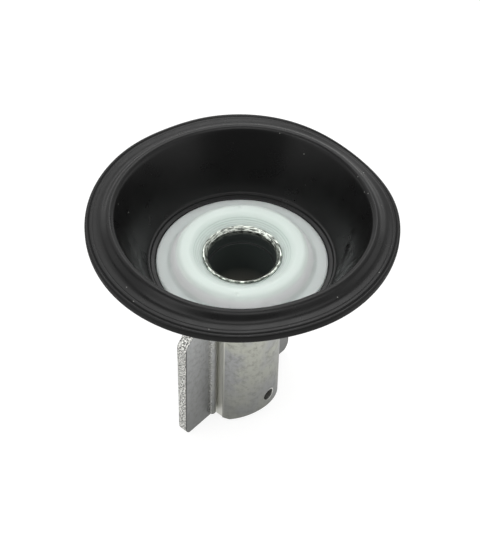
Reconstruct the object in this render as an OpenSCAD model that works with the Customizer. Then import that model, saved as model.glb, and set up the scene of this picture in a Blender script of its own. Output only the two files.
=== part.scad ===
// Vacuum diaphragm of a constant-velocity carburettor.
// A moulded rubber cup is clamped between the head of a cast slide and a
// plastic ring, and the slide's neck is flared over the ring to hold all three.

/* [Slide] */
// Outside diameter of the slide's round body
body_d = 16.9; // [15.5:0.1:20]
// Height of the body from its foot to the underside of its head
body_h = 38.5; // [34:0.5:45]
// Diameter of the return spring's bore
bore_d = 13.2; // [11:0.1:13.8]
// Thickness of the floor below the bore
floor_t = 4; // [2.5:0.1:4.5]
// Diameter of the jet needle's hole in the floor
needle_hole_d = 2.6; // [2:0.1:4]
// Diameter of the vacuum port in the front wall
port_d = 2.8; // [1.5:0.1:3]
// Height of the port's centre above the foot
port_z = 6.1; // [6:0.1:12]
// Chamfer round the foot
foot_chamfer = 0.6; // [0.2:0.1:0.9]
// Distance from the axis at which the front cutaway begins
cutaway_start = 2.7; // [2:0.1:5]
// Angle at which the cutaway rises
cutaway_angle = 26.5; // [15:0.5:35]

/* [Slide head] */
// Diameter of the head under the rubber
head_d = 34.3; // [30:0.1:36]
// Thickness of the head
head_t = 1.6; // [1.2:0.1:2.5]
// Fillet between the body and the head
head_fillet = 1.5; // [0.5:0.1:3]
// Step from the spring's bore out to the neck's wider bore
neck_step = 0.4; // [0.2:0.05:0.6]
// Wall thickness of the neck that passes through the rubber and the ring
neck_wall = 0.6; // [0.5:0.05:0.9]
// How far the flared lip reaches out over the ring
lip_reach = 0.4; // [0.25:0.05:0.6]
// Thickness of the flared lip
lip_t = 0.4; // [0.3:0.05:0.7]
// Width of the flare inside the lip
flare_w = 0.65; // [0.3:0.05:0.8]

/* [Guide fins] */
// Span over the outer edges of both fins
fin_span = 33.8; // [28:0.2:40]
// Thickness of the fins at the foot
fin_t = 1.9; // [1.5:0.1:2.6]
// Gain in thickness up to the body's top, as the mould's draft
fin_draft = 0.7; // [0:0.1:1]
// Distance of the fins' middle plane behind the axis
fin_offset = 1.2; // [0:0.1:2]
// Height of the fins' outer edge, where the slope to the head begins
fin_edge_h = 28.2; // [20:0.2:29]
// Angle of that slope from the horizontal
fin_slope = 48; // [40:1:50]
// Radius of the fins' lower corners
fin_corner_r = 2.5; // [0.5:0.1:4]
// Radius of the fins' upper corners
fin_upper_r = 2; // [0.5:0.1:4]
// Rounding along the fins' lower edge
fin_edge_r = 0.5; // [0.2:0.1:0.7]
// Width of the guide groove beside each fin
groove_w = 2.6; // [2:0.1:3.4]
// Depth of the guide groove in the body's side
groove_depth = 0.85; // [0.4:0.05:0.9]
// Radius of the rounded shoulder at each fin's root
root_r = 0.85; // [0.5:0.05:1.1]
// Height above the foot at which the shoulders start
root_z = 1.5; // [0:0.1:4]

/* [Rubber diaphragm] */
// Outside diameter of the rim
rim_d = 62; // [60:0.5:68]
// Thickness of the sealing bead at the rim
bead_t = 2.1; // [1.8:0.1:3]
// Width of the sealing bead
bead_w = 3; // [2:0.1:3.2]
// Inside diameter of the cup at the rim's level
mouth_d = 49.2; // [49:0.1:50]
// Depth of the cup from the rim to its floor
cup_depth = 11.7; // [8:0.1:11.8]
// Lean of the cup's wall from the vertical
wall_lean = 26; // [18:0.5:26]
// Thickness of the cup's wall
wall_t = 0.8; // [0.5:0.05:0.95]
// Fillet between the cup's wall and its floor
cup_fillet = 0.7; // [0.4:0.1:0.9]
// Height of the roll round the mouth above the rim
roll_h = 1.3; // [1:0.05:1.5]
// Radius of the roll's two edges
roll_r = 0.75; // [0.6:0.05:0.8]
// Width of the flat crest between those edges
roll_flat = 0.45; // [0.2:0.05:0.8]
// Angle at which the roll falls to the rim
roll_fall = 42.5; // [38:0.5:60]
// Thickness of the clamped flange
clamp_t = 1; // [0.8:0.05:1.6]
// Depth of the recess in the cup's floor that holds the ring
recess_h = 1.25; // [0.8:0.05:1.4]
// Gap between the ring and the wall of that recess
recess_gap = 0.1; // [0.05:0.05:0.2]
// Rounding of the recess's edge
recess_r = 0.25; // [0.1:0.05:0.4]
// Depth of the two fine grooves in the rim's face
rim_groove_depth = 0.2; // [0.1:0.05:0.4]
// Width of those grooves
rim_groove_w = 0.3; // [0.2:0.05:0.5]

/* [Retaining ring] */
// Outside diameter of the ring
ring_d = 34.7; // [32:0.1:35]
// Thickness of the ring's flange
ring_flange_t = 1.2; // [0.8:0.1:1.6]
// Diameter at the foot of the ring's ridge
ridge_d = 29; // [27:0.1:30]
// Height of the ridge above the flange
ridge_h = 2.8; // [2:0.1:3.5]
// Lean of the ridge's outer wall from the vertical
ridge_lean = 20; // [10:1:25]
// Rounding of the ridge's outer edge
ridge_outer_r = 1.2; // [0.6:0.1:1.6]
// Rounding of the ridge's inner edge
ridge_inner_r = 1.8; // [1:0.1:2.5]
// Slope of the ring's dish down to the neck
dish_angle = 30; // [20:1:36]
// Height of the ring's straight bore
ring_bore_h = 2.1; // [1.6:0.1:2.4]

/* [Hidden] */
$fn = 96;

// Gap between the neck and what sits round it
fit_gap = 0.05;
// How far cutting shapes run past what they cut
over = 1;
// Straight pieces in each rounded corner of a profile
steps = 8;

bore_r = bore_d / 2;
body_r = body_d / 2;
neck_bore_r = bore_r + neck_step;
neck_r = neck_bore_r + neck_wall;
sleeve_r = neck_r + fit_gap;
lip_r = neck_r + lip_reach;

// Heights of the stack, from the foot upwards
head_z = body_h + head_t;
clamp_z = head_z + clamp_t;
floor_z = clamp_z + recess_h;
rim_z = floor_z + cup_depth;
ring_z = clamp_z + ring_flange_t;
crest_z = ring_z + ridge_h;
seat_z = clamp_z + ring_bore_h;
lip_z = seat_z + lip_reach + lip_t;

// Guide fins: their two faces, and where the slope meets the body
fin_front = fin_offset - fin_t / 2;
fin_back = fin_offset + fin_t / 2;
groove_x = body_r - groove_depth;
slope_top = fin_edge_h + (fin_span / 2 - groove_x) * tan(fin_slope);

// Points of an arc of radius r about c, from angle a to angle b
function arc(c, r, a, b) = [
    for (i = [0 : steps])
        let (t = a + (b - a) * i / steps)
        [c[0] + r * cos(t), c[1] + r * sin(t)]
];

// Radius of the cup's inner face at height z
function cup_r(z) = mouth_d / 2 - (rim_z - z) * tan(wall_lean);

module spin(outline) rotate_extrude() polygon(outline);

// Body, head, neck and flared lip as one turned outline
module slide_outline() {
    spin(concat(
        [[0, 0], [body_r - foot_chamfer, 0], [body_r, foot_chamfer]],
        arc([body_r + head_fillet, body_h - head_fillet], head_fillet, 180, 90),
        [
            [head_d / 2, body_h],
            [head_d / 2, head_z],
            [neck_r, head_z],
            [neck_r, seat_z],
            [lip_r, seat_z + lip_reach],
            [lip_r, lip_z - lip_t / 3],
            [lip_r - lip_t / 3, lip_z],
            [0, lip_z]
        ]
    ));
}

// Both fins as one plate: its side outline, cut to the drafted section
module fin_plate() {
    edge = fin_span / 2;
    low = arc([edge - fin_corner_r, fin_corner_r], fin_corner_r, -90, 0);
    // The upper corner's arc touches the outer edge and the slope
    bend = fin_upper_r * tan((90 - fin_slope) / 2);
    high = arc([edge - fin_upper_r, fin_edge_h - bend], fin_upper_r, 0, 90 - fin_slope);
    half = concat(low, high, [[groove_x, slope_top]]);
    mirrored = [for (i = [len(half) - 1 : -1 : 0]) [-half[i][0], half[i][1]]];
    gain = fin_draft / 2;
    intersection() {
        translate([0, fin_offset, 0]) rotate([90, 0, 0])
            linear_extrude(fin_t + fin_draft + over, center = true)
                polygon(concat(half, mirrored));
        rotate([90, 0, 90])
            linear_extrude(fin_span + over, center = true)
                polygon(concat(
                    arc([fin_front + fin_edge_r, fin_edge_r], fin_edge_r, 180, 270),
                    arc([fin_back - fin_edge_r, fin_edge_r], fin_edge_r, 270, 360),
                    [[fin_back + gain, body_h], [fin_front - gain, body_h]]
                ));
    }
}

// Guide groove on one side of the fins, with the shoulder at their root
module guide_grooves() {
    for (side = [-1, 1], face = [fin_front - groove_w, fin_back])
        translate([side > 0 ? groove_x : -groove_x - body_r, face, -over])
            cube([body_r, groove_w, slope_top + over]);
}

module root_shoulders() {
    x = groove_x + groove_depth / 2 + root_r;
    top = slope_top - (x + root_r - groove_x) * tan(fin_slope);
    for (side = [-1, 1], face = [fin_front - root_r / 3, fin_back + root_r / 3])
        translate([side * x, face, root_z])
            cylinder(r = root_r, h = top - root_z, $fn = 32);
}

// Front of the foot, cut away at an angle
module cutaway() {
    reach = body_r + over - cutaway_start;
    rotate([90, 0, 90])
        linear_extrude(body_d + over, center = true)
            polygon([
                [-cutaway_start, 0],
                [-cutaway_start - reach, reach * tan(cutaway_angle)],
                [-cutaway_start - reach, -over],
                [-cutaway_start, -over]
            ]);
}

// Spring bore, needle hole and vacuum port
module slide_holes() {
    translate([0, 0, floor_t]) cylinder(d = bore_d, h = lip_z);
    translate([0, 0, head_z]) cylinder(r = neck_bore_r, h = lip_z);
    translate([0, 0, lip_z - flare_w])
        cylinder(r1 = neck_bore_r, r2 = neck_bore_r + flare_w + over, h = flare_w + over);
    translate([0, 0, -over]) cylinder(d = needle_hole_d, h = floor_t + 2 * over);
    translate([0, 0, port_z]) rotate([90, 0, 0]) cylinder(d = port_d, h = body_d, $fn = 48);
}

// Cast aluminium slide
module slide() {
    color([0.68, 0.68, 0.66])
        difference() {
            union() {
                difference() {
                    slide_outline();
                    guide_grooves();
                    cutaway();
                }
                fin_plate();
                root_shoulders();
            }
            slide_holes();
        }
}

// A fine square groove in the rim's face, centred on radius r
function rim_groove(r) = [
    [r - rim_groove_w / 2, rim_z],
    [r - rim_groove_w / 4, rim_z - rim_groove_depth],
    [r + rim_groove_w / 4, rim_z - rim_groove_depth],
    [r + rim_groove_w / 2, rim_z]
];

// Moulded rubber: clamped flange, recess, cup, roll and beaded rim in one
module diaphragm() {
    rim_r = rim_d / 2;
    bead_in = rim_r - bead_w;
    bead_z = rim_z - bead_t;
    edge = 0.3;
    heel = 0.9;
    outer_groove = 1;
    inner_groove = 1.7;
    recess_wall = ring_d / 2 + recess_gap;
    fillet_c = [
        cup_r(floor_z) - cup_fillet * tan((90 - wall_lean) / 2),
        floor_z + cup_fillet
    ];
    crown_z = rim_z + roll_h - roll_r;
    crown_r = cup_r(crown_z + roll_r * sin(wall_lean)) + roll_r * cos(wall_lean);
    foot_r = crown_r + roll_flat + roll_r * sin(roll_fall)
        + (roll_h - roll_r * (1 - cos(roll_fall))) / tan(roll_fall);
    under_z = rim_z - wall_t;
    color([0.13, 0.13, 0.13])
        spin(concat(
            [[sleeve_r, clamp_z], [recess_wall, clamp_z]],
            arc([recess_wall + recess_r, floor_z - recess_r], recess_r, 180, 90),
            arc(fillet_c, cup_fillet, -90, -wall_lean),
            arc([crown_r, crown_z], roll_r, 180 - wall_lean, 90),
            arc([crown_r + roll_flat, crown_z], roll_r, 90, 90 - roll_fall),
            [[foot_r, rim_z]],
            rim_groove(rim_r - inner_groove),
            rim_groove(rim_r - outer_groove),
            arc([rim_r - edge, rim_z - edge], edge, 90, 0),
            arc([rim_r - heel, bead_z + heel], heel, 0, -90),
            [
                [bead_in + edge, bead_z],
                [bead_in, bead_z + edge],
                [bead_in, under_z],
                [cup_r(under_z) + wall_t / cos(wall_lean), under_z]
            ],
            arc(fillet_c, cup_fillet + wall_t, -wall_lean, -90),
            [
                [recess_wall + wall_t, floor_z - wall_t],
                [recess_wall + wall_t - edge, head_z],
                [sleeve_r, head_z]
            ]
        ));
}

// Moulded plastic ring: flange, rounded ridge and dished centre
module retaining_ring() {
    ring_r = ring_d / 2;
    edge = 0.3;
    root = 0.4;
    outer_c = [
        ridge_d / 2 - (ridge_h - ridge_outer_r) * tan(ridge_lean)
            - ridge_outer_r / cos(ridge_lean),
        crest_z - ridge_outer_r
    ];
    // The dish runs from the seat under the lip up to the ridge
    dish_r = lip_r + fit_gap;
    dish_z = seat_z + dish_r - sleeve_r;
    rise = crest_z - dish_z - ridge_inner_r * (1 - cos(dish_angle));
    inner_c = [
        dish_r + rise / tan(dish_angle) + ridge_inner_r * sin(dish_angle),
        crest_z - ridge_inner_r
    ];
    turn = 90 - ridge_lean;
    foot_c = [ridge_d / 2 + root * tan(turn / 2), ring_z + root];
    color([0.88, 0.91, 0.89])
        spin(concat(
            [[sleeve_r, clamp_z], [ring_r, clamp_z]],
            arc([ring_r - edge, ring_z - edge], edge, 0, 90),
            arc(foot_c, root, 270, 180 + ridge_lean),
            arc(outer_c, ridge_outer_r, ridge_lean, 90),
            arc(inner_c, ridge_inner_r, 90, 90 + dish_angle),
            [[dish_r, dish_z], [sleeve_r, seat_z]]
        ));
}

slide();
diaphragm();
retaining_ring();
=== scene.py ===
import bpy
import numpy as np
from mathutils import Matrix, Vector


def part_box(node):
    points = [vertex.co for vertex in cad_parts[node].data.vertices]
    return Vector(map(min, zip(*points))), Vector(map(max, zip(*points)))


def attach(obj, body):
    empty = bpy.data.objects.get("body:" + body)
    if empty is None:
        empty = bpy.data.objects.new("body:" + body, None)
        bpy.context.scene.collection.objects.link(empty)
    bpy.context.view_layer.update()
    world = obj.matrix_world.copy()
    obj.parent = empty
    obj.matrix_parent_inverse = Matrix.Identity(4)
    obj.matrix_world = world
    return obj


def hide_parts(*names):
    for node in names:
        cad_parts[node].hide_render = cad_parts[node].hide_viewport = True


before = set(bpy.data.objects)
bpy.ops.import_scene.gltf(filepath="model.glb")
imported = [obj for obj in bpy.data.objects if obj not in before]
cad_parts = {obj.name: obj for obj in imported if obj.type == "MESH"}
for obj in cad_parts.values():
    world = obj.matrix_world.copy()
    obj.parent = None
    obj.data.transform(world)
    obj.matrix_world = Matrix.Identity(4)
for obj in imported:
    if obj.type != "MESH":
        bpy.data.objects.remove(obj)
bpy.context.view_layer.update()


# Camera
# It stands in front of the left half of the part and looks down at its open mouth, with a long
# lens and a slight roll. The middle of the rim is put where the photograph has it.
MM = 0.001
PICTURE = np.array([480, 533])
RIM_PIXEL = np.array([243.0, 220.5])
FOCAL_PIXELS = 1650
SENSOR = 36
VIEW_AZIMUTH, VIEW_ELEVATION, VIEW_ROLL = -49.5, 46.53, 1.33
VIEW_DISTANCE = 325 * MM
NEAREST_SEEN = 10 * MM
RIM_CENTRE = np.array([0, 0, 53.3]) * MM


def facing(azimuth, elevation):
    """The level, upward and backward directions of what looks at the part from there.

    For azimuth A and elevation E, in degrees, backward is (sin A cos E, -cos A cos E, sin E) and
    level is (cos A, sin A, 0). Upward is at right angles to both.
    """
    turn, lift = np.radians([azimuth, elevation])
    level = np.array([np.cos(turn), np.sin(turn), 0])
    back = np.array([np.sin(turn) * np.cos(lift), -np.cos(turn) * np.cos(lift), np.sin(lift)])
    return level, np.cross(back, level), back


def stand(thing, right, up, back, place):
    """Links an object to the scene at that place, with its own axes in those directions."""
    rows = np.column_stack([right, up, back, place]).tolist()
    thing.matrix_world = Matrix([*rows, [0, 0, 0, 1]])
    bpy.context.scene.collection.objects.link(thing)


level, upward, back = facing(VIEW_AZIMUTH, VIEW_ELEVATION)
roll = np.radians(VIEW_ROLL)
right = np.cos(roll) * level + np.sin(roll) * upward
up = np.cos(roll) * upward - np.sin(roll) * level
shift_right, shift_down = (RIM_PIXEL - PICTURE / 2) / FOCAL_PIXELS * VIEW_DISTANCE
view_place = RIM_CENTRE + back * VIEW_DISTANCE - right * shift_right + up * shift_down

camera = bpy.data.objects.new("camera", bpy.data.cameras.new("camera"))
camera.data.sensor_width = SENSOR
camera.data.lens = SENSOR * FOCAL_PIXELS / PICTURE.max()
camera.data.clip_start = NEAREST_SEEN
stand(camera, right, up, back, view_place)
bpy.context.scene.camera = camera
bpy.context.scene.view_settings.view_transform = "Standard"


# Floor and light
# A pale floor without edges and a dim white room. Soft lamps round the part light the ring, and the
# rim mirrors the narrow one behind. Low wide ones, the walls, give the roll and the cup a sheen.
FLOOR_SIZE = 4.0
FLOOR_COLOUR, WHITE = "#f2f2f0", "#ffffff"
FLOOR_GLOW = 1.15
GLOW_SEEN, GLOW_MIRRORED = 0.75, 0.55
ROOM_LIGHT, ROOM_SEEN = 0.3, 1.0

# Azimuth and elevation in degrees, distance, width and height in metres, and radiance
LAMPS = [
    ("lamp_behind", 130.5, 49, 0.6, 0.18, 0.3, 3.6),
    ("lamp_behind_left", 170, 42, 0.6, 0.35, 0.3, 1.3),
    ("lamp_behind_right", 91, 42, 0.6, 0.35, 0.3, 0.8),
    ("lamp_behind_high", 130.5, 66, 0.6, 0.3, 0.3, 1.1),
    ("lamp_right", 40.5, 50, 0.6, 0.3, 0.3, 0.6),
    ("lamp_front_left", -113, 50, 0.6, 0.3, 0.3, 2.7),
    ("lamp_front_right", 10.5, 60, 0.6, 0.3, 0.3, 1.5),
    ("lamp_above", -49.5, 77, 0.6, 0.3, 0.3, 2.8),
    ("wall_behind", 130.5, 12, 0.9, 3.0, 0.6, 1.0),
    ("wall_left", -124.5, 16, 0.7, 1.1, 0.45, 1.0),
    ("wall_right", 27.5, 16, 0.7, 1.1, 0.45, 1.2),
]


def linear(colour):
    """The linear red, green, blue and alpha of an sRGB hex colour such as #c0c4c2."""
    s = np.array([int(colour[i:i + 2], 16) for i in (1, 3, 5)]) / 255
    return (*np.where(s <= 0.04045, s / 12.92, ((s + 0.055) / 1.055) ** 2.4), 1.0)


def add(tree, kind, inputs=(), **settings):
    """Adds a node. An input takes a plain value, a colour such as #c0c4c2, a socket, or a node,
    of which the first output in use is linked. Inputs go by name, or by number where names repeat.
    """
    made = tree.nodes.new("ShaderNode" + kind)
    for name, value in settings.items():
        setattr(made, name, value)
    for name, value in dict(inputs).items():
        socket = made.inputs[name] if isinstance(name, int) else next(
            one for one in made.inputs if one.enabled and one.name == name)
        if isinstance(value, bpy.types.Node):
            value = next(one for one in value.outputs if one.enabled)
        if isinstance(value, bpy.types.NodeSocket):
            tree.links.new(value, socket)
        else:
            socket.default_value = linear(value) if isinstance(value, str) else value
    return made


def blank(name):
    """A new material with an empty node tree, and that tree."""
    material = bpy.data.materials.new(name)
    material.use_nodes = True
    material.node_tree.nodes.clear()
    return material, material.node_tree


def white_paper():
    """Matt white paper, which the camera and every mirror sees as nearly white."""
    material, tree = blank("white_paper")
    path = add(tree, "LightPath")
    mirrored = add(tree, "Math", {0: path.outputs["Is Glossy Ray"],
                                  1: path.outputs["Is Transmission Ray"]}, operation="MAXIMUM")
    mirrored = add(tree, "Math", {0: mirrored, 1: GLOW_MIRRORED}, operation="MULTIPLY")
    share = add(tree, "Math", {0: path.outputs["Is Camera Ray"], 1: GLOW_SEEN, 2: mirrored},
                operation="MULTIPLY_ADD")
    matt = add(tree, "BsdfDiffuse", {"Color": FLOOR_COLOUR})
    glow = add(tree, "Emission", {"Color": WHITE, "Strength": FLOOR_GLOW})
    add(tree, "OutputMaterial", {"Surface": add(tree, "MixShader", {0: share, 1: matt, 2: glow})})
    return material


def lamp(name, azimuth, elevation, distance, width, height, radiance):
    """A soft lamp at that azimuth and elevation, in degrees, which faces the part.

    A lamp of area A that is to be as bright as a white of that radiance gives pi A radiance watts.
    """
    data = bpy.data.lights.new(name, "AREA")
    data.shape, data.size, data.size_y = "RECTANGLE", width, height
    data.energy = np.pi * width * height * radiance
    side, over, away = facing(azimuth, elevation)
    stand(bpy.data.objects.new(name, data), side, over, away, RIM_CENTRE + away * distance)


corner = FLOOR_SIZE / 2
floor_mesh = bpy.data.meshes.new("floor")
floor_mesh.from_pydata([(-corner, -corner, 0), (corner, -corner, 0), (corner, corner, 0),
                        (-corner, corner, 0)], [], [(0, 1, 2, 3)])
floor_mesh.materials.append(white_paper())
floor = bpy.data.objects.new("floor", floor_mesh)
bpy.context.scene.collection.objects.link(floor)

for row in LAMPS:
    lamp(*row)

room = bpy.data.worlds.new("room")
room.use_nodes = True
room.node_tree.nodes.clear()
ray = add(room.node_tree, "LightPath")
inside = add(room.node_tree, "Background", {"Color": WHITE, "Strength": ROOM_LIGHT})
outside = add(room.node_tree, "Background", {"Color": WHITE, "Strength": ROOM_SEEN})
shown = add(room.node_tree, "MixShader", {0: ray.outputs["Is Camera Ray"], 1: inside, 2: outside})
add(room.node_tree, "OutputWorld", {"Surface": shown})
bpy.context.scene.world = room


# Slide
# One aluminium die casting: a round body with two guide fins, a head under the rubber, and a thin
# neck that is flared over the ring. The skin is matt and finely pitted, the flare is bare metal.
def corners(node):
    """The lowest and the highest corner of a CAD node, in millimetres, to the nearest micron."""
    return np.round(np.array(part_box(node)) / MM, 3)


# Millimetres, for the finishes: the tops of the lip, the rubber's flange and the body, then the
# sizes of the body, bore, lip, fins, guide grooves and port
LIP_Z = corners("slide")[1][2]
FLANGE_Z = corners("retaining_ring")[0][2]
BODY_Z, BODY_R = 38.5, 8.45
BORE_R, LIP_R = 7.0, 8.0
FIN_REACH, FIN_PLANE = 16.9, 1.2
GUIDE_X, GUIDE_SIDE = 7.6, 3.55
PORT_Z, PORT_R = 6.1, 1.4


def within(tree, limits, most=1.0):
    """How fully a point lies within a zone of the surface that has several limits.

    A limit is a place and the two values, in millimetres, at which it starts and is complete. The
    share is most times the product of (place - start) / (complete - start), each kept to 0..1.
    """
    for place, start, complete in limits:
        most = add(tree, "MapRange", {"Value": place, "From Min": start * MM,
                                      "From Max": complete * MM, "To Max": most})
    return most


def cast_aluminium():
    """Die-cast aluminium alloy, AlSi, as cast: dull grey with a fine grain and faint flow marks.

    It is painted darker towards the foot, a painted shade. The fins' trimmed edges are bright and
    pitted, with a dark line along them. The guide grooves' floors are painted lighter, a painted
    light in their shade, and the corners beside them and the port's rim carry painted highlights.
    The neck is swaged, which leaves long bright and dark marks round it. The bore is painted dark
    as painted shade, darkest on its ledge, and lighter deep down as painted light. Grain and pits
    are finer on the real one: here they are 0.2 to 0.4 mm wide, so that they show.
    """
    material, tree = blank("cast_aluminium")
    where = add(tree, "TexCoord").outputs["Object"]
    x, y, z = add(tree, "SeparateXYZ", {0: where}).outputs
    flat = add(tree, "CombineXYZ", {0: x, 1: y})
    radius = add(tree, "VectorMath", {0: flat}, operation="LENGTH")
    outward = add(tree, "Math", {0: x}, operation="ABSOLUTE")
    normal = add(tree, "NewGeometry").outputs["Normal"]
    _, normal_y, normal_z = add(tree, "SeparateXYZ", {0: normal}).outputs

    # The swaged neck, the bore's painted shade with its ledge and its deeper part, and the painted
    # shade towards the foot
    swaged = within(tree, [(z, FLANGE_Z - 0.2, FLANGE_Z + 0.5),
                           (radius, LIP_R + 0.3, LIP_R + 0.1)])
    bore = within(tree, [(z, LIP_Z - 0.8, LIP_Z - 1.8), (radius, BORE_R + 0.2, BORE_R + 0.1)])
    ledge = add(tree, "MapRange", {"Value": normal_z, "From Min": 0.2, "From Max": 0.8})
    deep = add(tree, "MapRange", {"Value": z, "From Min": 33 * MM, "From Max": 28 * MM})
    # Painted shade: the body darker towards its foot
    foot_shade = add(tree, "MapRange", {"Value": z, "From Min": 30 * MM, "From Max": 3 * MM,
                                   "To Max": 0.75})

    # The fins' edges, where the normal turns away from Y, and the dark line along them: the
    # outermost strip of each side, and wherever a rounding of 0.25 mm would turn the normal
    on_fin = within(tree, [(z, BODY_Z - 0.1, BODY_Z - 0.5),
                           (outward, BODY_R + 0.75, BODY_R + 1.75)])
    edge = add(tree, "MapRange", {"Value": add(tree, "Math", {0: normal_y}, operation="ABSOLUTE"),
                                  "From Min": 0.75, "From Max": 0.55, "To Max": on_fin})
    side = add(tree, "Math", {0: on_fin, 1: edge}, operation="SUBTRACT")
    softened = add(tree, "Bevel", {"Radius": 0.25 * MM}, samples=6)
    bent = add(tree, "VectorMath", {0: softened, 1: normal}, operation="DOT_PRODUCT")
    bent = add(tree, "MapRange", {"Value": bent.outputs["Value"], "From Min": 0.995,
                                  "From Max": 0.9, "To Max": side})
    burr = add(tree, "MapRange", {"Value": outward, "From Min": (FIN_REACH - 0.4) * MM,
                                  "From Max": (FIN_REACH - 0.2) * MM, "To Max": side})
    burr = add(tree, "Math", {0: burr, 1: bent}, operation="MAXIMUM")

    # The guide grooves' floors, painted lighter as painted light, and the painted highlight on the
    # body's corners beside them
    beside = add(tree, "Math", {0: y, 1: FIN_PLANE * MM}, operation="SUBTRACT")
    beside = add(tree, "Math", {0: beside}, operation="ABSOLUTE")
    # Painted light: the grooves' floors lighter than their shade would leave them
    lit_guide_floor = within(tree, [(outward, GUIDE_X - 0.2, GUIDE_X - 0.1),
                                (outward, GUIDE_X + 1.0, GUIDE_X + 0.6),
                                (beside, GUIDE_SIDE + 0.05, GUIDE_SIDE - 0.05)])
    # A painted highlight along the body's corners beside the grooves
    corner_highlight = within(tree, [(outward, GUIDE_X + 0.2, GUIDE_X + 0.4),
                                (beside, GUIDE_SIDE + 0.5, GUIDE_SIDE + 0.25),
                                (beside, GUIDE_SIDE - 0.1, GUIDE_SIDE - 0.05)])

    # The port's rim, a painted highlight, brightest at its right
    up_port = add(tree, "Math", {0: z, 1: PORT_Z * MM}, operation="SUBTRACT")
    from_port = add(tree, "VectorMath", {0: add(tree, "CombineXYZ", {0: x, 1: up_port})},
                    operation="LENGTH")
    from_port = add(tree, "Math", {0: from_port, 1: (PORT_R + 0.1) * MM}, operation="SUBTRACT")
    from_port = add(tree, "Math", {0: from_port}, operation="ABSOLUTE")
    # Painted highlight on the port's rim
    port_highlight = within(tree, [(y, 0, -1.0), (x, -0.6, 1.0), (from_port, 0.18, 0.08)], 0.7)

    # Patterns: a scale of 5.2 / MM is 5.2 grains to the millimetre. Rubs run up and down, 16 times
    # as long as wide. Streaks run round the neck: they are read off a circle of 1.8 mm, which makes
    # them four times as long as wide.
    grain = add(tree, "TexNoise", {"Vector": where, "Scale": 5.2 / MM, "Detail": 4.0})
    flow = add(tree, "TexNoise", {"Vector": where, "Scale": 0.19 / MM, "Detail": 3.0})
    marks = add(tree, "TexNoise", {"Vector": where, "Scale": 0.9 / MM, "Detail": 5.0,
                                   "Roughness": 0.65})
    torn = add(tree, "TexNoise", {"Vector": where, "Scale": 3.2 / MM, "Detail": 2.0})
    pits = add(tree, "TexVoronoi", {"Vector": where, "Scale": 2.3 / MM})
    tall = add(tree, "VectorMath", {0: where, 1: (1, 1, 0.06)}, operation="MULTIPLY")
    rubs = add(tree, "TexNoise", {"Vector": tall, "Scale": 2.2 / MM, "Detail": 3.0})
    around = add(tree, "VectorMath", {0: flat}, operation="NORMALIZE")
    around = add(tree, "VectorMath", {0: around, "Scale": 1.8 * MM}, operation="SCALE")
    across = add(tree, "CombineXYZ", {2: add(tree, "Math", {0: z, 1: radius})})
    streaks = add(tree, "TexNoise", {"Vector": add(tree, "VectorMath", {0: around, 1: across}),
                                     "Scale": 3.6 / MM, "Detail": 5.0, "Distortion": 0.4})

    # Shares of the colours that follow the patterns
    cool = add(tree, "MapRange", {"Value": flow, "From Min": 0.42, "From Max": 0.6})
    cool = add(tree, "Math", {0: cool, 1: on_fin}, operation="MAXIMUM")
    dull = add(tree, "MapRange", {"Value": marks, "From Min": 0.46, "From Max": 0.76,
                                  "To Max": 0.8})
    rubbed = add(tree, "MapRange", {"Value": rubs, "From Min": 0.5, "From Max": 0.7,
                                    "To Max": 0.16})
    glint = add(tree, "MapRange", {"Value": torn, "From Min": 0.4, "From Max": 0.6})
    pit = add(tree, "MapRange", {"Value": pits, "From Min": 0.35, "From Max": 0.15})
    streak = add(tree, "MapRange", {"Value": streaks, "From Min": 0.42, "From Max": 0.58})

    # Colours of the edges, the neck and the bore, then all of them laid over the plain grey
    trimmed = add(tree, "Mix", {"Factor": glint, "A": "#5c5c59", "B": "#f0f0ec"}, data_type="RGBA")
    trimmed = add(tree, "Mix", {"Factor": pit, "A": trimmed, "B": "#50504d"}, data_type="RGBA")
    bright = add(tree, "Mix", {"Factor": streak, "A": "#585c57", "B": "#eef4ea"}, data_type="RGBA")
    # Painted shade in the bore, darkest on its upward ledge, and painted light deep down
    bore_shade = add(tree, "Mix", {"Factor": ledge, "A": "#454c4a", "B": "#0c0d0d"}, data_type="RGBA")
    bore_shade = add(tree, "Mix", {"Factor": deep, "A": bore_shade, "B": "#a09e97"}, data_type="RGBA")
    tone = "#bfc0b6"
    # Some layers are painted light and shade: foot, groove floors, corners, port rim and bore
    for share, colour in [
        (cool, "#b1b2b3"), (dull, "#84857f"), (rubbed, "#d3d3cf"), (corner_highlight, "#dcdcd4"),
        (foot_shade, "#6a6b69"), (lit_guide_floor, "#dcdcd6"), (burr, "#585957"), (port_highlight, "#f2f2ee"),
        (edge, trimmed), (swaged, bright), (bore, bore_shade),
    ]:
        tone = add(tree, "Mix", {"Factor": share, "A": tone, "B": colour}, data_type="RGBA")

    # Relief: a pit is as deep as two grains, and a ripple round the neck as nine
    dent = add(tree, "MapRange", {"Value": pits, "From Max": 0.4, "To Max": edge})
    height = add(tree, "Math", {0: dent, 1: 2.0, 2: grain}, operation="MULTIPLY_ADD")
    ripple = add(tree, "Math", {0: swaged, 1: streaks}, operation="MULTIPLY")
    height = add(tree, "Math", {0: ripple, 1: 9.0, 2: height}, operation="MULTIPLY_ADD")
    relief = add(tree, "Bump", {"Height": height, "Strength": 0.5, "Distance": 0.03 * MM,
                                "Normal": softened})
    skin = add(tree, "BsdfPrincipled", {
        "Base Color": tone,
        "Metallic": add(tree, "MapRange", {"Value": bore, "To Min": 1.0, "To Max": 0.1}),
        "Roughness": add(tree, "MapRange", {"Value": swaged, "To Min": 0.5, "To Max": 0.35}),
        "Normal": relief,
    })
    add(tree, "OutputMaterial", {"Surface": skin})
    return material


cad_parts["slide"].data.materials.clear()
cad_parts["slide"].data.materials.append(cast_aluminium())


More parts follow.
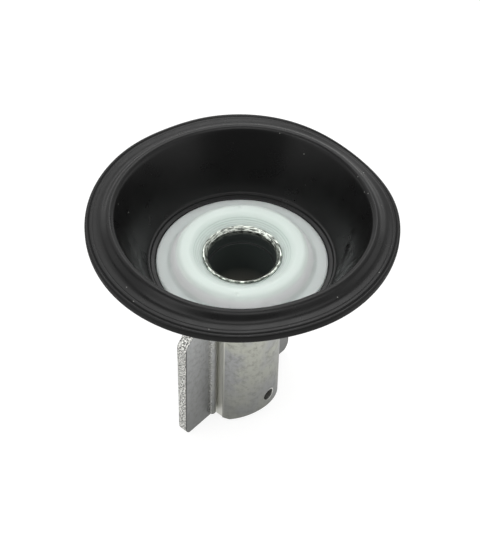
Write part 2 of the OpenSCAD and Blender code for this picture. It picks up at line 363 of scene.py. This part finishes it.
# Diaphragm
# One moulding of black fuel-proof rubber: a flat flange clamped under the ring, a thin conical
# wall, a roll round the mouth and a thick beaded rim with two fine grooves.
HEAD_Z = corners("diaphragm")[0][2]
RIM_R, _, CREST_Z = corners("diaphragm")[1]
NECK_HOLE = 7.65
RECESS_R, CUP_Z = 17.45, 42.25
STEP_R, STEP_Z = 18.4, 42.7
UNDER_Z, RIM_Z = 53.25, 54.05
BEAD_R, BEAD_Z = 28.0, 51.95
OUTER_GROOVE, INNER_GROOVE = 30.25, 29.45
RUBBER_TURNS = 400

# Soft folds in the wall: how far each stands in, and the angles and heights it runs through. Each
# fades over FOLD_WIDTH, measured on the wall unrolled at UNROLL_R.
FOLD_WIDTH, UNROLL_R = 0.5, 21
FOLDS = [
    (0.12, [(-44.0, 48.4), (-50.0, 46.3)]),
    (0.45, [(-50.0, 46.3), (-56.9, 44.7), (-60.1, 43.9), (-66.0, 43.0)]),
    (0.25, [(-69.6, 50.4), (-70.5, 48.0), (-73.6, 46.2)]),
    (0.15, [(-58.0, 47.6), (-64.0, 45.4)]),
    (0.12, [(132.8, 47.1), (142.4, 47.4), (160.6, 51.4)]),
    (0.1, [(141.5, 49.8), (150.9, 50.2), (165.0, 52.6)]),
    (0.1, [(132.6, 45.6), (139.9, 45.4), (150.1, 46.4)]),
]

# The limp cup's moves: the angle and width in degrees, and the size, of each lobe. The wall moves
# above WALL_Z, and the rim from CREST_R outwards and above RIM_FROM_Z.
CREST_OUT = [(-50, 26, 0.42), (-116, 24, -0.5), (126, 30, 0.42), (60, 26, -0.18)]
EDGE_OUT = [(-11, 26, -0.48), (176, 40, 0.42), (72, 14, -0.36), (-122, 16, -0.26)]
EDGE_UP = [(-11, 28, -1.1), (176, 40, -0.35)]
WALL_Z, CREST_R, RIM_FROM_Z = 42.35, 25.9, 50


def rounded(outline, parts=6):
    """A closed outline with each corner turned into an arc of that many parts.

    outline holds rows of distance from the axis, height and radius. An arc of radius R touches
    both sides of its corner, R / tan(h) from it, where h is half the angle between the sides,
    and its centre lies R / sin(h) from the corner on the line that halves that angle.
    """
    rows = np.array(outline, float)
    point, radius = rows[:, :2], rows[:, 2:]
    back_side = np.roll(point, 1, 0) - point
    next_side = np.roll(point, -1, 0) - point
    back_side /= np.linalg.norm(back_side, axis=1, keepdims=True)
    next_side /= np.linalg.norm(next_side, axis=1, keepdims=True)
    half = np.arccos(np.sum(back_side * next_side, 1, keepdims=True)) / 2
    middle = back_side + next_side
    middle /= np.linalg.norm(middle, axis=1, keepdims=True)
    centre = point + middle * radius / np.sin(half)
    first = point + back_side * radius / np.tan(half) - centre
    last = point + next_side * radius / np.tan(half) - centre
    sweep = (np.pi - 2 * half)[:, :, None]
    t = np.linspace(0, 1, parts + 1)[None, :, None]
    arcs = np.sin((1 - t) * sweep) * first[:, None] + np.sin(t * sweep) * last[:, None]
    return (centre[:, None] + arcs / np.sin(sweep)).reshape(-1, 2)


def spaced(outline, step, level):
    """The closed outline with points added, step apart, or four times as far below that level.

    A side from a to b that is cut into n parts gets the points a + (b - a) k / n.
    """
    sides = np.roll(outline, -1, 0) - outline
    wanted = np.where((outline + sides / 2)[:, 1] > level, step, 4 * step)
    parts = np.maximum(1, np.round(np.hypot(*sides.T) / wanted)).astype(int)
    side = np.repeat(np.arange(len(outline)), parts)
    k = np.arange(len(side)) - (np.cumsum(parts) - parts)[side]
    return outline[side] + sides[side] * (k / parts[side])[:, None]


def turned(name, outline, turns, shape):
    """A closed outline turned round the Z axis, in millimetres, as a mesh in metres.

    Point (r, z) of the outline at angle a lies at (r cos a, r sin a, z). shape moves the points:
    it takes and gives r, a and z as arrays with one row for each point of the outline.
    """
    a = np.arange(turns) * 2 * np.pi / turns
    r, a, z = shape(*np.broadcast_arrays(outline[:, :1], a[None], outline[:, 1:]))
    points = np.stack([r * np.cos(a), r * np.sin(a), z], -1).reshape(-1, 3) * MM
    i, j = np.indices(r.shape)
    after_i, after_j = (i + 1) % r.shape[0], (j + 1) % r.shape[1]
    faces = np.stack([i * turns + j, i * turns + after_j, after_i * turns + after_j,
                      after_i * turns + j], -1).reshape(-1, 4)
    mesh = bpy.data.meshes.new(name)
    mesh.from_pydata(points, [], faces.tolist())
    mesh.polygons.foreach_set("use_smooth", np.ones(len(faces), bool))
    mesh.update()
    made = bpy.data.objects.new(name, mesh)
    bpy.context.scene.collection.objects.link(made)
    return made


def past(a, angle):
    """How far angle a, in radians, lies past an angle in degrees: from -180 to 180 degrees."""
    return (np.degrees(a) - angle + 180) % 360 - 180


def lobes(a, rows):
    """The sum of size exp(-(d / width) ** 2), where d is how far a lies past each row's angle."""
    angle, width, size = np.array(rows).T[:, :, None, None]
    return np.sum(size * np.exp(-(past(a, angle) / width) ** 2), 0)


def folds(a, z):
    """How far the folds stand in: the sum, over them, of depth exp(-(d / FOLD_WIDTH) ** 2).

    d is the distance from the fold's line, on a plane whose two coordinates are the angle times
    UNROLL_R and the height. On a part of the line that runs from p along s, the nearest point to
    q is p + t s, where t is (q - p).s / s.s, kept to 0..1.
    """
    inward = 0
    for depth, line in FOLDS:
        angle, height = np.array(line).T
        ends = np.stack([np.radians(angle - angle[0]) * UNROLL_R, height], -1)
        q = np.stack([np.radians(past(a, angle[0])) * UNROLL_R, z], -1)
        near = np.full(a.shape, np.inf)
        for p, s in zip(ends, np.diff(ends, axis=0)):
            t = np.clip((q - p) @ s / (s @ s), 0, 1)
            near = np.minimum(near, np.linalg.norm(q - p - t[..., None] * s, axis=-1))
        inward = inward + depth * np.exp(-(near / FOLD_WIDTH) ** 2)
    return inward


def sagged(r, a, z):
    """The limp cup out of true, as it lies.

    The crest moves along its radius, and the rim's outer edge along its radius and down, each by
    its lobes. The wall follows the crest in proportion to its height, less its folds, which have
    their full depth from a fifth of the way up. The rim's face runs evenly from the crest's move
    to the outer edge's.
    """
    up_wall = np.clip((z - WALL_Z) / (CREST_Z - WALL_Z), 0, 1) * (r > STEP_R)
    on_rim = np.clip((r - CREST_R) / (RIM_R - CREST_R), 0, 1) * (z > RIM_FROM_Z)
    crest_out = lobes(a, CREST_OUT) - folds(a, z) / np.maximum(up_wall, 0.2)
    out = crest_out * up_wall * (1 - on_rim) + lobes(a, EDGE_OUT) * on_rim
    return r + out, a, z + lobes(a, EDGE_UP) * on_rim


def moulded_rubber(name, colour, roughness, gloss):
    """Nitrile rubber with carbon black, moulded: nearly black, with a soft broad sheen that is
    uneven from handling, and a few specks of pale dust, 0.2 mm wide. The mould's grain is drawn
    0.6 mm wide, coarser than the real one."""
    material, tree = blank(name)
    where = add(tree, "TexCoord").outputs["Object"]
    grain = add(tree, "TexNoise", {"Vector": where, "Scale": 1.8 / MM, "Detail": 4.0})
    relief = add(tree, "Bump", {"Height": grain, "Strength": 0.2, "Distance": 0.03 * MM})
    handled = add(tree, "TexNoise", {"Vector": where, "Scale": 0.26 / MM, "Detail": 4.0})
    handled = add(tree, "MapRange", {"Value": handled, "From Min": 0.35, "From Max": 0.65,
                                     "To Min": roughness - 0.03, "To Max": roughness + 0.03})
    dust = add(tree, "TexVoronoi", {"Vector": where, "Scale": 0.33 / MM})
    dust = add(tree, "MapRange", {"Value": dust, "From Min": 0.045, "From Max": 0.03})
    tone = add(tree, "Mix", {"Factor": dust, "A": colour, "B": "#7c7d79"}, data_type="RGBA")
    skin = add(tree, "BsdfPrincipled", {"Base Color": tone, "Roughness": handled, "IOR": 1.5,
                                        "Specular IOR Level": gloss, "Normal": relief})
    add(tree, "OutputMaterial", {"Surface": skin})
    return material


rubber_outline = spaced(rounded([
    # Underside of the flange and outside of the wall
    (NECK_HOLE, HEAD_Z, 0.05), (17.95, HEAD_Z, 0.3), (18.25, 41.5, 0.2), (19.39, 41.55, 1.5),
    (25.09, UNDER_Z, 0.4),
    # Bead, and face of the rim with its two grooves
    (BEAD_R, UNDER_Z, 0.15), (BEAD_R, BEAD_Z, 0.3), (RIM_R, BEAD_Z, 0.9), (RIM_R, RIM_Z, 0.3),
    (OUTER_GROOVE + 0.25, RIM_Z, 0.15), (OUTER_GROOVE, RIM_Z - 0.18, 0.15),
    (OUTER_GROOVE - 0.25, RIM_Z, 0.15), (INNER_GROOVE + 0.15, RIM_Z, 0.08),
    (INNER_GROOVE, RIM_Z - 0.04, 0.08), (INNER_GROOVE - 0.15, RIM_Z, 0.08),
    # Roll, inside of the wall, and the step and recess at its foot
    (27.87, RIM_Z, 1.5), (26.45, CREST_Z, 1.2), (25.23, CREST_Z, 1.1), (19.05, STEP_Z, 0.45),
    (18.5, STEP_Z, 0.2), (STEP_R, CUP_Z, 0.15), (RECESS_R, CUP_Z, 0.25),
    (RECESS_R, FLANGE_Z, 0.08), (NECK_HOLE, FLANGE_Z, 0.05),
], parts=4), step=0.45, level=HEAD_Z + 0.5)
diaphragm = turned("diaphragm_rubber", rubber_outline, RUBBER_TURNS, sagged)

# The outside up to the rim's face, and the floor of the outer groove, are as matt as the mould
# left them. The rest is rubbed to a satin.
outline_r, outline_z = rubber_outline.T
up_to_face = np.arange(len(rubber_outline)) < np.argmax(outline_z > RIM_Z - 0.15)
in_groove = (np.abs(outline_r - OUTER_GROOVE) < 0.2) & (outline_z < RIM_Z)
in_groove &= outline_z > RIM_Z - 0.3
matt_faces = np.repeat(up_to_face | in_groove, RUBBER_TURNS).astype(np.int32)
diaphragm.data.materials.append(moulded_rubber("moulded_rubber", "#0f0f0f", 0.3, 0.22))
diaphragm.data.materials.append(moulded_rubber("moulded_rubber_matt", "#121212", 0.6, 0.14))
diaphragm.data.polygons.foreach_set("material_index", matt_faces)
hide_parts("diaphragm")
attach(diaphragm, "root")


# Retaining ring
# One injection moulding of white acetal: a flat flange, a rounded ridge, and a dished middle with
# fine turned steps, on which the slide's neck is flared.
RING_R, _, RIDGE_Z = corners("retaining_ring")[1]
RING_FLANGE_Z = 42.3
RIDGE_R, DISH_R = 12.95, 9.85
LINES_APART = 0.42
RING_TURNS = 480

# Gate marks on the ridge: their distance from the axis, angles, depth and width
GATE_R, GATE_ANGLES = 12.2, [44.1, -143.1]
GATE_DEPTH, GATE_WIDTH = 0.25, 0.28


def white_acetal():
    """Acetal, moulded: cool milky white that light enters, so its shades are soft. The ridge's
    outer slope is painted lighter, a painted light, and the dish a shade greyer, a painted shade.
    The thin
    flange is painted grey: partly the black rubber under it showing through, partly painted shade.
    The skin has a smooth satin sheen, and fine lines, LINES_APART, run round the dish."""
    material, tree = blank("white_acetal")
    where = add(tree, "TexCoord").outputs["Object"]
    x, y, z = add(tree, "SeparateXYZ", {0: where}).outputs
    radius = add(tree, "VectorMath", {0: add(tree, "CombineXYZ", {0: x, 1: y})}, operation="LENGTH")
    thick_and_unshaded = add(tree, "MapRange", {"Value": z, "From Min": (RING_FLANGE_Z - 0.1) * MM,
                                   "From Max": (RING_FLANGE_Z + 0.7) * MM})
    lit_slope = add(tree, "MapRange", {"Value": radius, "From Min": (RIDGE_R - 0.05) * MM,
                                   "From Max": (RIDGE_R + 0.65) * MM})
    dish = add(tree, "MapRange", {"Value": radius, "From Min": (DISH_R + 0.35) * MM,
                                  "From Max": (DISH_R - 0.15) * MM})
    line = add(tree, "Math", {0: radius, 1: 2 * np.pi / (LINES_APART * MM)}, operation="MULTIPLY")
    line = add(tree, "Math", {0: line}, operation="SINE")
    line = add(tree, "MapRange", {"Value": line, "From Min": 0.55, "From Max": 0.95,
                                  "To Max": dish})
    tone = "#d0dbd5"
    # The outer slope painted lighter as painted light, the dish a shade greyer as painted shade
    for share, colour in [(lit_slope, "#f4fdf7"), (dish, "#cedad4"), (line, "#bac6c0")]:
        tone = add(tree, "Mix", {"Factor": share, "A": tone, "B": colour}, data_type="RGBA")
    # The flange's grey: partly the black rubber showing through, partly painted shade
    tone = add(tree, "Mix", {"Factor": thick_and_unshaded, "A": "#c9d3d0", "B": tone}, data_type="RGBA")
    skin = add(tree, "BsdfPrincipled", {
        "Base Color": tone,
        "Subsurface Weight": 1.0,
        "Subsurface Radius": (1.0, 1.0, 1.0),
        "Subsurface Scale": 5.0 * MM,
        "Roughness": 0.5,
        "IOR": 1.48,
    })
    add(tree, "OutputMaterial", {"Surface": skin})
    return material


def dimpled(r, a, z):
    """The gate marks: each lowers the ridge by GATE_DEPTH exp(-(d / GATE_WIDTH) ** 2), where d is
    the distance from its middle."""
    x, y = r * np.cos(a), r * np.sin(a)
    for angle in np.radians(GATE_ANGLES):
        away = np.hypot(x - GATE_R * np.cos(angle), y - GATE_R * np.sin(angle))
        z = z - (z > RIDGE_Z - 1.1) * GATE_DEPTH * np.exp(-(away / GATE_WIDTH) ** 2)
    return r, a, z


ring_outline = spaced(rounded([
    # Flange and ridge
    (NECK_HOLE, FLANGE_Z, 0.05), (RING_R, FLANGE_Z, 0.1), (RING_R, RING_FLANGE_Z, 0.3),
    (14.7, RING_FLANGE_Z, 1.0), (RIDGE_R, RIDGE_Z, 1.5), (10.75, RIDGE_Z, 1.4),
    # Dish with its turned steps, down to the neck
    (DISH_R, 44.6, 0.05), (9.8, 44.5, 0.05), (9.35, 44.28, 0.05), (9.3, 44.2, 0.05),
    (8.85, 44.0, 0.05), (8.8, 43.93, 0.05), (8.05, 43.6, 0.1), (NECK_HOLE, 43.2, 0.05),
]), step=0.2, level=FLANGE_Z + 0.2)
ring = turned("acetal_ring", ring_outline, RING_TURNS, dimpled)
ring.data.materials.append(white_acetal())
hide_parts("retaining_ring")
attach(ring, "root")
